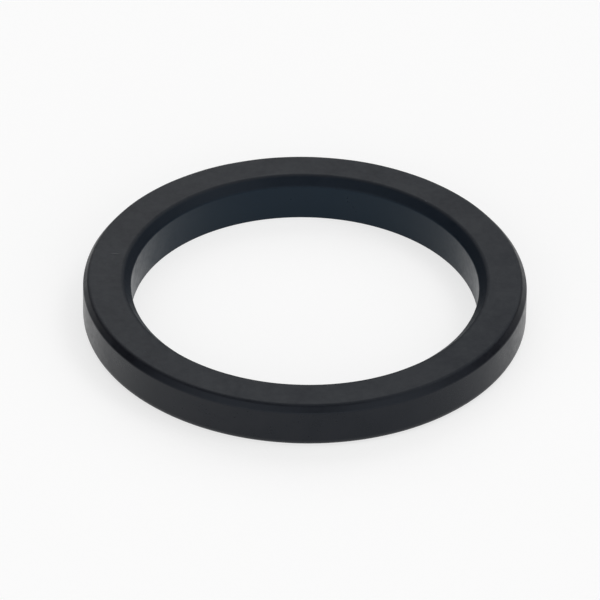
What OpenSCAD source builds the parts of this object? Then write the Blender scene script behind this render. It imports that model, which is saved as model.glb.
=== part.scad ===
// Group head gasket: a ring moulded in one piece from black rubber.
// It fills the groove of the group and seals on the rim of the filter basket.
// The ring lies on its plain face, with its axis along Z, its bevelled face upward
// and the origin in the middle of the plain face. All sizes are in millimetres.

/* [Ring] */
// Diameter of the outer wall
outer_d = 73; // [50:0.5:100]
// Width of the ring, from the bore to the outer wall
ring_w = 7.9; // [6:0.05:12]
// Height from the plain face to the bevelled face
thickness = 7.7; // [6:0.1:12]

/* [Bevel at the bore] */
// How far the bevel reaches across the face
bore_bevel_w = 1.35; // [0.8:0.05:2]
// How far the bevel reaches down the bore
bore_bevel_h = 1.4; // [0.8:0.05:2]
// Radius of the soft turn from the face into the bevel
bore_turn_r = 0.8; // [0.1:0.05:1.1]
// Radius of the edge between the bevel and the bore
bore_edge_r = 0.3; // [0.1:0.05:0.6]

/* [Bevel at the rim] */
// How far the bevel reaches across the face
rim_bevel_w = 0.95; // [0.8:0.05:2]
// How far the bevel reaches down the outer wall
rim_bevel_h = 1.2; // [0.8:0.05:2]
// Radius of the soft turn from the face into the bevel
rim_turn_r = 0.7; // [0.1:0.05:1.1]
// Radius of the edge between the bevel and the outer wall
rim_edge_r = 0.3; // [0.1:0.05:0.6]

/* [Edges of the plain face] */
// Radius from the plain face up into the outer wall
foot_r = 1.3; // [0.2:0.05:2.5]
// Radius from the plain face up into the bore
heel_r = 0.15; // [0.1:0.05:1]

/* [Hidden] */
outer_r = outer_d / 2;
bore_r = outer_r - ring_w;
ring_fn = 240;
arc_fn = 96;
// How far an arc reaches past the sides that it runs into, so that it always cuts them
bite = 0.0001;

function unit(v) = v / norm(v);

// What lies between a sharp corner and the arc of radius r that runs into both of its sides.
// It is drawn from the corner outward, so that the arc and the sides meet without a step.
module corner_waste(before, corner, after, r) {
    to_before = unit(before - corner);
    to_after = unit(after - corner);
    half_angle = acos(to_before * to_after) / 2;
    run = r / tan(half_angle);
    centre = unit(to_before + to_after) * r / sin(half_angle);
    translate(corner)
        difference() {
            polygon([-centre, to_before * run, centre, to_after * run]);
            translate(centre) circle(r + bite, $fn = arc_fn);
        }
}

// A closed outline with every corner turned to its own radius
module rounded_outline(corners, radii) {
    count = len(corners);
    difference() {
        polygon(corners);
        for (i = [0 : count - 1])
            let (before = corners[(i + count - 1) % count], after = corners[(i + 1) % count])
                corner_waste(before, corners[i], after, radii[i]);
    }
}

// The cut face of the ring, to the right of its axis: two upright walls on a plain foot,
// and a flat face between two bevels
module section() {
    rounded_outline(
        [
            [bore_r, 0],
            [outer_r, 0],
            [outer_r, thickness - rim_bevel_h],
            [outer_r - rim_bevel_w, thickness],
            [bore_r + bore_bevel_w, thickness],
            [bore_r, thickness - bore_bevel_h]
        ],
        [heel_r, foot_r, rim_edge_r, rim_turn_r, bore_turn_r, bore_edge_r]
    );
}

module gasket() {
    color("#2c2d31")
        rotate_extrude($fn = ring_fn)
            section();
}

gasket();
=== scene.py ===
# Group head gasket: a moulded black rubber ring lying on a pale table, under soft studio light
import bpy
import math
from mathutils import Matrix, Vector, noise


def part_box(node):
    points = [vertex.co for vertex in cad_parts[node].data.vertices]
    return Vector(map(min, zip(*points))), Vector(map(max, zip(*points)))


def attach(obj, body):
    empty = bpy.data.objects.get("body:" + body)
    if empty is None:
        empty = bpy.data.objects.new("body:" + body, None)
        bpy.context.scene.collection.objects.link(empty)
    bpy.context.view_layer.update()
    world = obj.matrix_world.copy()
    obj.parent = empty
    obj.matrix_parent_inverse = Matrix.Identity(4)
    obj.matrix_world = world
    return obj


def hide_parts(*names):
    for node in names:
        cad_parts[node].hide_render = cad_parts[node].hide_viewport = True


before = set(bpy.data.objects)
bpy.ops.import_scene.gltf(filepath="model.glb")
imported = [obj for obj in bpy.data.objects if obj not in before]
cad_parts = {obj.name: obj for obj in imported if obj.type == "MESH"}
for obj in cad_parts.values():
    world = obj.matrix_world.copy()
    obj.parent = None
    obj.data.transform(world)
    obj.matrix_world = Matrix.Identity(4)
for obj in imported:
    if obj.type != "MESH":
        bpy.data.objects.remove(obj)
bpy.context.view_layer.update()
print("gasket loaded")

mm = 0.001

# The rubber ring. Azimuths are in degrees: 0 is the camera's side and 90 the right
ring = {
    "width": 7.9 * mm,                      # from the bore to the outer wall
    "boreBevel": (1.35 * mm, 1.4 * mm),     # across the face, down the bore
    "rimBevel": (0.95 * mm, 1.2 * mm),      # across the face, down the outer wall
    "boreTurn": 1.0 * mm,                   # soft turn from the face into the bore bevel
    "boreEdge": 0.55 * mm,                  # edge between the bore bevel and the bore
    "rimTurn": 0.8 * mm,                    # soft turn from the face into the rim bevel
    "rimEdge": 0.55 * mm,                   # edge between the rim bevel and the outer wall
    "rimRunOut": (0.13 * mm, -40),          # how much narrower the rim bevel gets, and at which azimuth
    "boreRunOut": (0.16 * mm, 125),         # how much wider the bore bevel gets, and at which azimuth
    "foot": 1.3 * mm,                       # plain face up into the outer wall
    "heel": 0.15 * mm,                      # plain face up into the bore
    "turnSteps": 480,                       # steps round the ring
    "arcSteps": 9,                          # steps in each turned edge
    "sideSteps": (10, 8, 2, 7, 3, 9),       # steps along each straight side, from the plain face round
    "edgeLoop": 0.07 * mm,                  # loops that hold each turned edge
    "stray": 0.02 * mm,                     # how far the moulded rubber strays from true
    "straySpan": 7 * mm,                    # size of its slow wander
    "strayCloser": (2.7, 0.5),              # a second wander: how many times closer, and its share
    "strayShift": (7, 3, 5),                # keeps the second wander clear of the first
    "strayFrom": 1.5 * mm,                  # height from which the surface strays in full
    # Finish of each side: its share of the walls' gloss, of the haze with its painted light and of the
    # bore's painted blue reflection.
    # Gloss below 0 is as dull as the face, and starts further round the turned edge
    "sideFinish": (
        (0, 0.5, 0),                        # plain face
        (1, 2, 0),                          # outer wall
        (0.6, 0, 0),                        # rim bevel
        (0, 1, 0),                          # upper face
        (-0.8, 0, 0.4),                     # bore bevel
        (0.85, 0, 1),                       # bore
    ),
    # How worn each turned edge is: heel, foot, rim edge, rim turn, bore turn, bore edge
    "edgeWear": (0.8, 0.6, 0.05, 0.3, 0.8, 0.05),
}


def runOut(most, at, azimuth):
    # From nothing on one side of the ring to the most on the other
    return most * (1 + math.cos(azimuth - math.radians(at))) / 2


def sectionCorners(ring, outerRadius, height, azimuth):
    # The sharp corners of the section at one azimuth, each with the radius that it is turned to
    boreRadius = outerRadius - ring["width"]
    rimAcross, rimDown = ring["rimBevel"]
    boreAcross, boreDown = ring["boreBevel"]
    rimAcross -= runOut(*ring["rimRunOut"], azimuth)
    boreAcross += runOut(*ring["boreRunOut"], azimuth)
    return [
        (Vector((boreRadius, 0)), ring["heel"]),
        (Vector((outerRadius, 0)), ring["foot"]),
        (Vector((outerRadius, height - rimDown)), ring["rimEdge"]),
        (Vector((outerRadius - rimAcross, height)), ring["rimTurn"]),
        (Vector((boreRadius + boreAcross, height)), ring["boreTurn"]),
        (Vector((boreRadius, height - boreDown)), ring["boreEdge"]),
    ]


def turnedCorner(before, corner, after, radius, steps):
    # Points on the arc that rounds a corner, from the side before it to the side after it
    toBefore, toAfter = (before - corner).normalized(), (after - corner).normalized()
    half = toBefore.angle(toAfter) / 2
    centre = corner + (toBefore + toAfter).normalized() * radius / math.sin(half)
    start = corner + toBefore * radius / math.tan(half) - centre
    sweep = math.pi - 2 * half
    arc = []
    for i in range(steps + 1):
        turn = Matrix.Rotation(sweep * i / steps, 2)
        arc.append(centre + turn @ start)
    return arc


def ringSection(ring, outerRadius, height, azimuth):
    # The whole outline at one azimuth: each point with its finish and its share of worn edge
    corners = sectionCorners(ring, outerRadius, height, azimuth)
    count = len(corners)
    arcs = []
    for i, (corner, radius) in enumerate(corners):
        before, after = corners[i - 1][0], corners[(i + 1) % count][0]
        arcs.append(turnedCorner(before, corner, after, radius, ring["arcSteps"]))
    sides = [Vector(finish) for finish in ring["sideFinish"]]
    outline = []
    for i, arc in enumerate(arcs):
        for j, point in enumerate(arc):
            t = j / ring["arcSteps"]
            finish = sides[i - 1].lerp(sides[i], t)
            outline.append((point, finish, ring["edgeWear"][i] * math.sin(math.pi * t)))
        start, end = arc[-1], arcs[(i + 1) % count][0]
        length = (end - start).length
        inner = length - 2 * ring["edgeLoop"]
        pieces = ring["sideSteps"][i]
        for j in range(pieces + 1):
            along = (ring["edgeLoop"] + inner * j / pieces) / length
            outline.append((start.lerp(end, along), sides[i], 0))
    return outline


def strayOf(point, ring):
    # Moulded rubber is never quite true: its surface wanders, but not on the face that it lies on
    closer, share = ring["strayCloser"]
    place = point / ring["straySpan"]
    wander = noise.noise(place) + share * noise.noise(place * closer + Vector(ring["strayShift"]))
    lift = min(1, max(0, point.z / ring["strayFrom"]))
    return ring["stray"] * lift * wander


def makeRing(ring, low, high):
    outerRadius, height = (high.x - low.x) / 2, high.z - low.z
    turns = ring["turnSteps"]
    points, faces, finishes, wear = [], [], [], []
    for s in range(turns):
        azimuth = 2 * math.pi * s / turns
        outline = ringSection(ring, outerRadius, height, azimuth)
        count = len(outline)
        outwardAxis = Vector((math.sin(azimuth), -math.cos(azimuth), 0))
        for i, (p, finish, worn) in enumerate(outline):
            along = (outline[(i + 1) % count][0] - outline[i - 1][0]).normalized()
            point = outwardAxis * p.x + Vector((0, 0, p.y))
            away = outwardAxis * along.y - Vector((0, 0, along.x))
            points.append(point + away * strayOf(point, ring))
            finishes.append(finish)
            wear.append(worn)
        here, there = s * count, (s + 1) % turns * count
        for i in range(count):
            j = (i + 1) % count
            faces.append((here + i, there + i, there + j, here + j))
    mesh = bpy.data.meshes.new("gasket_ring")
    mesh.from_pydata(points, [], faces)
    wall, hazeAndPaintedLight, bore = zip(*finishes)
    for name, values in (("wall", wall), ("hazeAndPaintedLight", hazeAndPaintedLight), ("bore", bore), ("edge", wear)):
        mesh.attributes.new(name, "FLOAT", "POINT").data.foreach_set("value", values)
    mesh.shade_smooth()
    piece = bpy.data.objects.new("gasket_ring", mesh)
    bpy.context.scene.collection.objects.link(piece)
    return piece


gasketRing = makeRing(ring, *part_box("gasket"))
print("ring turned:", len(gasketRing.data.polygons), "faces")

# The rubber
rubber = {
    "deep": (0.0022, 0.0023, 0.0048),       # colour in the darker patches
    "pale": (0.0042, 0.0044, 0.0080),       # colour in the paler patches
    "patch": 5 * mm,                        # size of the pale and dark patches
    "mottle": 0.9 * mm,                     # size of the mottle over them
    "patchShare": (0.6, 0.4),               # how much of the colour follows the patches and the mottle
    "contrast": (0.35, 0.65),               # all deep below the first, all pale above the second
    "paintedBoreReflection": (0.0001, 0.0086, 0.0190),   # painted reflection: a bluer cast painted into the bore's colour
    "paintedReflectionShare": 0.9,                       # how much of that painted reflection there is
    "worn": (0.0085, 0.0090, 0.0120),       # colour where the turned edges are worn
    "wearMottle": (0.42, 0.62),             # the mottle between which they go from least to most worn
    "wearShare": (0.15, 0.75),              # least and most of the worn colour
    "bloomAndPaintedLight": (0.0165, 0.0160, 0.0182),      # the pale haze of old rubber, with painted light that makes it paler on one side
    "paintedLightAt": -118,                        # azimuth at which the painted light makes the haze strongest
    "paintedLightReach": 36 * mm,                  # how far from the axis it goes on changing
    "paintedLightShare": (0.1, 1.0),               # least, across the ring from there, and most
    "bloomPatches": (0.6, 1.0),             # least and most of it in the patches
    "faceRoughness": 0.51,
    "wallRoughness": 0.32,
    "unevenness": 0.05,                     # of the roughness, each in patches and mottle
    "edgeDulling": 0.12,                    # worn edges are duller
    "refraction": 1.345,
    "sheenTint": (0.77, 0.885, 1.0),        # the sheen is a little cool too
    "grain": 0.32 * mm,                     # size of the mould's grain
    "grainDepth": 0.003 * mm,
    "poreSpan": 1.7 * mm,                   # from one place for a pore to the next
    "poreShare": 0.25,                      # how many of these places have one
    "poreWidth": (0.03, 0.09),              # floor and rim of a pore, as shares of the span
    "poreDepth": 0.012 * mm,
    "nicks": [                              # place, turn in degrees, length, width, depth
        ((-31.4 * mm, 6.1 * mm, 7.7 * mm), -3, 1.2 * mm, 0.22 * mm, 0.03 * mm),
        ((19.92 * mm, 22.90 * mm, 7.65 * mm), -41, 0.35 * mm, 0.15 * mm, 0.015 * mm),
    ],
    "nickFloor": 0.2,                       # share of a nick that has its full depth
    "nickColour": (0.0400, 0.0405, 0.0450),
}


def addNode(tree, kind, sockets=None, **settings):
    node = tree.nodes.new(kind)
    for name, value in settings.items():
        setattr(node, name, value)
    for name, value in (sockets or {}).items():
        socket = node.inputs[name]
        if isinstance(value, bpy.types.NodeSocket):
            tree.links.new(value, socket)
        else:
            socket.default_value = value
    return node


def mathNode(tree, operation, *values):
    return addNode(tree, "ShaderNodeMath", dict(enumerate(values)), operation=operation).outputs[0]


def rangeNode(tree, value, fromLow, fromHigh, toLow, toHigh, kind="LINEAR"):
    sockets = {"Value": value, "From Min": fromLow, "From Max": fromHigh, "To Min": toLow, "To Max": toHigh}
    return addNode(tree, "ShaderNodeMapRange", sockets, interpolation_type=kind).outputs["Result"]


def mixColour(tree, share, a, b):
    # Inputs 6 and 7 and output 2 are the Mix node's colours
    node = addNode(tree, "ShaderNodeMix", data_type="RGBA")
    for socket, value in zip((node.inputs[0], node.inputs[6], node.inputs[7]), (share, a, b)):
        if isinstance(value, bpy.types.NodeSocket):
            tree.links.new(value, socket)
        elif isinstance(value, tuple):
            socket.default_value = (*value, 1)
        else:
            socket.default_value = value
    return node.outputs[2]


def attributeNode(tree, name):
    return addNode(tree, "ShaderNodeAttribute", attribute_name=name).outputs["Fac"]


def noiseNode(tree, place, size, detail, roughness, distortion=0.0):
    sockets = {
        "Vector": place, "Scale": 1 / size, "Detail": detail,
        "Roughness": roughness, "Distortion": distortion,
    }
    return addNode(tree, "ShaderNodeTexNoise", sockets).outputs["Fac"]


def spreadNoise(tree, pattern, low, high):
    # Noise stays mostly between 0.3 and 0.7: this spreads it from low to high
    return rangeNode(tree, pattern, 0.3, 0.7, low, high)


def bumpNode(tree, height, depth, under=None):
    # One layer of relief, over the one under it
    bump = addNode(tree, "ShaderNodeBump", {"Height": height, "Distance": depth})
    if under is not None:
        tree.links.new(under, bump.inputs["Normal"])
    return bump.outputs[0]


def nickShare(tree, place, full, at, turn, length, width):
    # A short stroke: 1 in its middle and 0 at its rim
    offset = addNode(tree, "ShaderNodeVectorMath", {0: place, 1: at}, operation="SUBTRACT").outputs[0]
    turned = addNode(tree, "ShaderNodeVectorRotate", {"Vector": offset, "Angle": math.radians(-turn)},
                     rotation_type="Z_AXIS").outputs[0]
    shape = addNode(tree, "ShaderNodeVectorMath", {0: turned, 1: (1 / length, 1 / width, 1 / width)},
                    operation="MULTIPLY").outputs[0]
    away = addNode(tree, "ShaderNodeVectorMath", {0: shape}, operation="LENGTH").outputs["Value"]
    return rangeNode(tree, away, full, 1, 1, 0, "SMOOTHSTEP")


def bloomAndPaintedLightPattern(tree, place, patches, rubber):
    # Painted light: the haze is strongest on one side of the ring, where it stands in for light falling
    # there, and uneven in patches
    x, y = addNode(tree, "ShaderNodeSeparateXYZ", {0: place}).outputs[:2]
    at, reach = math.radians(rubber["paintedLightAt"]), rubber["paintedLightReach"]
    side = mathNode(tree, "ADD", mathNode(tree, "MULTIPLY", x, math.sin(at)),
                    mathNode(tree, "MULTIPLY", y, -math.cos(at)))
    share = rangeNode(tree, side, -reach, reach, *rubber["paintedLightShare"])
    share = mathNode(tree, "MULTIPLY", share, spreadNoise(tree, patches, *rubber["bloomPatches"]))
    return mathNode(tree, "MULTIPLY", share, attributeNode(tree, "hazeAndPaintedLight"))


def mouldedRubber(rubber):
    material = bpy.data.materials.new("moulded_black_rubber")
    material.use_nodes = True
    tree = material.node_tree
    shader = tree.nodes["Principled BSDF"]
    place = addNode(tree, "ShaderNodeTexCoord").outputs["Object"]
    wall, edge, bore = (attributeNode(tree, name) for name in ("wall", "edge", "bore"))
    patches = noiseNode(tree, place, rubber["patch"], detail=3, roughness=0.55, distortion=0.4)
    mottle = noiseNode(tree, place, rubber["mottle"], detail=4, roughness=0.6)
    grain = noiseNode(tree, place, rubber["grain"], detail=3, roughness=0.55)

    # Colour: patches and mottle of near black under a haze that carries painted light on one side, a
    # painted blue reflection in the bore, paler worn turned edges
    patchShare, mottleShare = rubber["patchShare"]
    both = mathNode(tree, "ADD", mathNode(tree, "MULTIPLY", patches, patchShare),
                    mathNode(tree, "MULTIPLY", mottle, mottleShare))
    share = rangeNode(tree, both, *rubber["contrast"], 0, 1, "SMOOTHSTEP")
    colour = mixColour(tree, share, rubber["deep"], rubber["pale"])
    # Painted light: the haze is made paler towards the left-back side
    colour = mixColour(tree, bloomAndPaintedLightPattern(tree, place, patches, rubber), colour, rubber["bloomAndPaintedLight"])
    # Painted reflection: the bore's colour is tinted blue
    paintedBlueShare = mathNode(tree, "MULTIPLY", bore, rubber["paintedReflectionShare"])
    colour = mixColour(tree, paintedBlueShare, colour, rubber["paintedBoreReflection"])
    wearPattern = rangeNode(tree, mottle, *rubber["wearMottle"], *rubber["wearShare"])
    wear = mathNode(tree, "MULTIPLY", edge, wearPattern)
    colour = mixColour(tree, wear, colour, rubber["worn"])
    nicks = []
    for *stroke, depth in rubber["nicks"]:
        share = nickShare(tree, place, rubber["nickFloor"], *stroke)
        colour = mixColour(tree, share, colour, rubber["nickColour"])
        nicks.append((share, depth))
    tree.links.new(colour, shader.inputs["Base Color"])

    # Sheen: a matt face, smoother walls, both uneven, and duller where the edges are worn
    rough = rangeNode(tree, wall, 0, 1, rubber["faceRoughness"], rubber["wallRoughness"])
    most = rubber["unevenness"]
    uneven = mathNode(tree, "ADD", spreadNoise(tree, patches, -most, most),
                      spreadNoise(tree, mottle, -most, most))
    rough = mathNode(tree, "ADD", rough, uneven)
    rough = mathNode(tree, "ADD", rough, mathNode(tree, "MULTIPLY", edge, rubber["edgeDulling"]))
    tree.links.new(rough, shader.inputs["Roughness"])
    shader.inputs["IOR"].default_value = rubber["refraction"]
    shader.inputs["Specular Tint"].default_value = (*rubber["sheenTint"], 1)

    # Relief: a few shallow pores, the fine grain of the mould over them, and the nicks
    scale = 1 / rubber["poreSpan"]
    pores = addNode(tree, "ShaderNodeTexVoronoi", {"Vector": place, "Scale": scale}).outputs
    pit = rangeNode(tree, pores["Distance"], *rubber["poreWidth"], -1, 0, "SMOOTHSTEP")
    lot = addNode(tree, "ShaderNodeSeparateColor", {0: pores["Color"]}).outputs[0]
    pit = mathNode(tree, "MULTIPLY", pit, mathNode(tree, "GREATER_THAN", lot, 1 - rubber["poreShare"]))
    relief = bumpNode(tree, pit, rubber["poreDepth"])
    relief = bumpNode(tree, grain, rubber["grainDepth"], relief)
    for share, depth in nicks:
        relief = bumpNode(tree, share, depth, relief)
    tree.links.new(relief, shader.inputs["Normal"])
    return material


gasketRing.data.materials.append(mouldedRubber(rubber))
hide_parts("gasket")
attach(gasketRing, "root")
print("rubber laid on")

# The table
table = {
    "reach": 4.0,                           # metres from the middle to each side
    "drop": 0.02 * mm,                      # how far it lies under the ring
    "colour": (0.38, 0.38, 0.38),
    "backing": 0.675,                       # white that the eye and the gloss see through the paper
}


def makeTable(table):
    r, z = table["reach"], -table["drop"]
    mesh = bpy.data.meshes.new("table")
    mesh.from_pydata([(-r, -r, z), (r, -r, z), (r, r, z), (-r, r, z)], [], [(0, 1, 2, 3)])
    top = bpy.data.objects.new("table", mesh)
    bpy.context.scene.collection.objects.link(top)
    paper = bpy.data.materials.new("pale_table_paper")
    paper.use_nodes = True
    tree = paper.node_tree
    tree.nodes.clear()
    matt = addNode(tree, "ShaderNodeBsdfDiffuse", {"Color": (*table["colour"], 1)})
    ray = addNode(tree, "ShaderNodeLightPath").outputs
    seen = mathNode(tree, "MAXIMUM", ray["Is Camera Ray"], ray["Is Glossy Ray"])
    seen = mathNode(tree, "MAXIMUM", seen, ray["Is Transmission Ray"])
    white = mathNode(tree, "MULTIPLY", seen, table["backing"])
    backing = addNode(tree, "ShaderNodeEmission", {"Strength": white})
    both = addNode(tree, "ShaderNodeAddShader", {0: matt.outputs[0], 1: backing.outputs[0]})
    addNode(tree, "ShaderNodeOutputMaterial", {"Surface": both.outputs[0]})
    mesh.materials.append(paper)
    return top


makeTable(table)

# The light: soft windows in a dim room, and a dark tripod before them. All angles are in degrees:
# a window is full up to the first spread from its azimuth and gone at the second, and it fades in
# and out with the elevation
light = {
    "room": 0.03,
    "windows": {
        "front": {"azimuth": 4, "spread": (46, 102), "strength": 1.72,
                  "fadeIn": (-10, -5), "fadeOut": (36, 57)},
        "behind": {"azimuth": 176, "spread": (30, 66), "strength": 1.84,
                   "fadeIn": (15, 24), "fadeOut": (55, 69)},
        "right": {"azimuth": 94, "spread": (14, 26), "strength": 4.2,
                  "fadeIn": (40, 58), "fadeOut": (59, 82)},
        "horizon": {"azimuth": 180, "spread": (16, 34), "strength": 0.55,
                    "fadeIn": (-10, -5), "fadeOut": (12, 26)},
        "rightCorner": {"azimuth": 130, "spread": (6, 24), "strength": 0.14,
                        "fadeIn": (-10, -5), "fadeOut": (13, 31)},
        "leftCorner": {"azimuth": -158, "spread": (4, 18), "strength": 0.14,
                       "fadeIn": (2, 12), "fadeOut": (22, 34)},
        # all round, above the others
        "overhead": {"azimuth": 0, "spread": (180, 181), "strength": 1.1,
                     "fadeIn": (66, 81), "fadeOut": (95, 99)},
    },
    "tripod": {"azimuth": 7, "spread": (8, 18), "strength": 0.92,
               "fadeIn": (24, 32), "fadeOut": (46, 54)},
}


def windowShare(tree, azimuth, elevation, window):
    offset = mathNode(tree, "SUBTRACT", azimuth, window["azimuth"])
    offset = mathNode(tree, "ABSOLUTE", mathNode(tree, "WRAP", offset, 180, -180))
    share = rangeNode(tree, offset, *window["spread"], 1, 0, "SMOOTHSTEP")
    rise = rangeNode(tree, elevation, *window["fadeIn"], 0, 1, "SMOOTHSTEP")
    fall = rangeNode(tree, elevation, *window["fadeOut"], 1, 0, "SMOOTHSTEP")
    share = mathNode(tree, "MULTIPLY", share, mathNode(tree, "MULTIPLY", rise, fall))
    return mathNode(tree, "MULTIPLY", share, window["strength"])


def lightRoom(light):
    world = bpy.data.worlds.new("studio")
    bpy.context.scene.world = world
    world.use_nodes = True
    tree = world.node_tree
    tree.nodes.clear()
    direction = addNode(tree, "ShaderNodeTexCoord").outputs["Generated"]
    x, y, z = addNode(tree, "ShaderNodeSeparateXYZ", {0: direction}).outputs
    elevation = mathNode(tree, "DEGREES", mathNode(tree, "ARCSINE", z))
    azimuth = mathNode(tree, "DEGREES", mathNode(tree, "ARCTAN2", x, mathNode(tree, "MULTIPLY", y, -1)))
    level = light["room"]
    for window in light["windows"].values():
        level = mathNode(tree, "ADD", windowShare(tree, azimuth, elevation, window), level)
    dark = windowShare(tree, azimuth, elevation, light["tripod"])
    level = mathNode(tree, "MULTIPLY", level, mathNode(tree, "SUBTRACT", 1, dark))
    background = addNode(tree, "ShaderNodeBackground", {"Strength": level})
    addNode(tree, "ShaderNodeOutputWorld", {"Surface": background.outputs[0]})


lightRoom(light)
print("table and light set")

# The camera
camera = {
    "distance": 1.46,                       # metres from the middle of the plain face
    "elevation": 35.264,                    # degrees
    "roll": 0.9185,                         # degrees
    "frame": 600,                           # pixels across and down
    "focalPixels": 8854.4,                  # focal length, in pixels of the frame
    "ringAt": (304.48, 316.23),             # where the middle of the plain face falls in the frame
    "sensor": 36,                           # millimetres
    "clip": (0.05, 50),                     # nearest and farthest that it sees, in metres
}


def setCamera(camera):
    up, roll = math.radians(camera["elevation"]), math.radians(camera["roll"])
    back = Vector((0, -math.cos(up), math.sin(up)))
    right = Vector((1, 0, 0))
    above = back.cross(right)
    dx, dy = (camera["frame"] / 2 - c for c in camera["ringAt"])
    pixel = camera["distance"] / camera["focalPixels"]
    across = (math.cos(roll) * dx + math.sin(roll) * dy) * pixel
    down = (math.cos(roll) * dy - math.sin(roll) * dx) * pixel
    eye = back * camera["distance"]
    aim = right * across - above * down
    data = bpy.data.cameras.new("camera")
    data.sensor_width = camera["sensor"]
    data.lens = camera["focalPixels"] / camera["frame"] * camera["sensor"]
    data.clip_start, data.clip_end = camera["clip"]
    eyeObject = bpy.data.objects.new("camera", data)
    bpy.context.scene.collection.objects.link(eyeObject)
    look = (aim - eye).to_track_quat("-Z", "Y").to_matrix().to_4x4()
    eyeObject.matrix_world = Matrix.Translation(eye) @ look @ Matrix.Rotation(roll, 4, "Z")
    bpy.context.scene.camera = eyeObject


setCamera(camera)
bpy.context.scene.view_settings.view_transform = "Standard"
print("camera set")
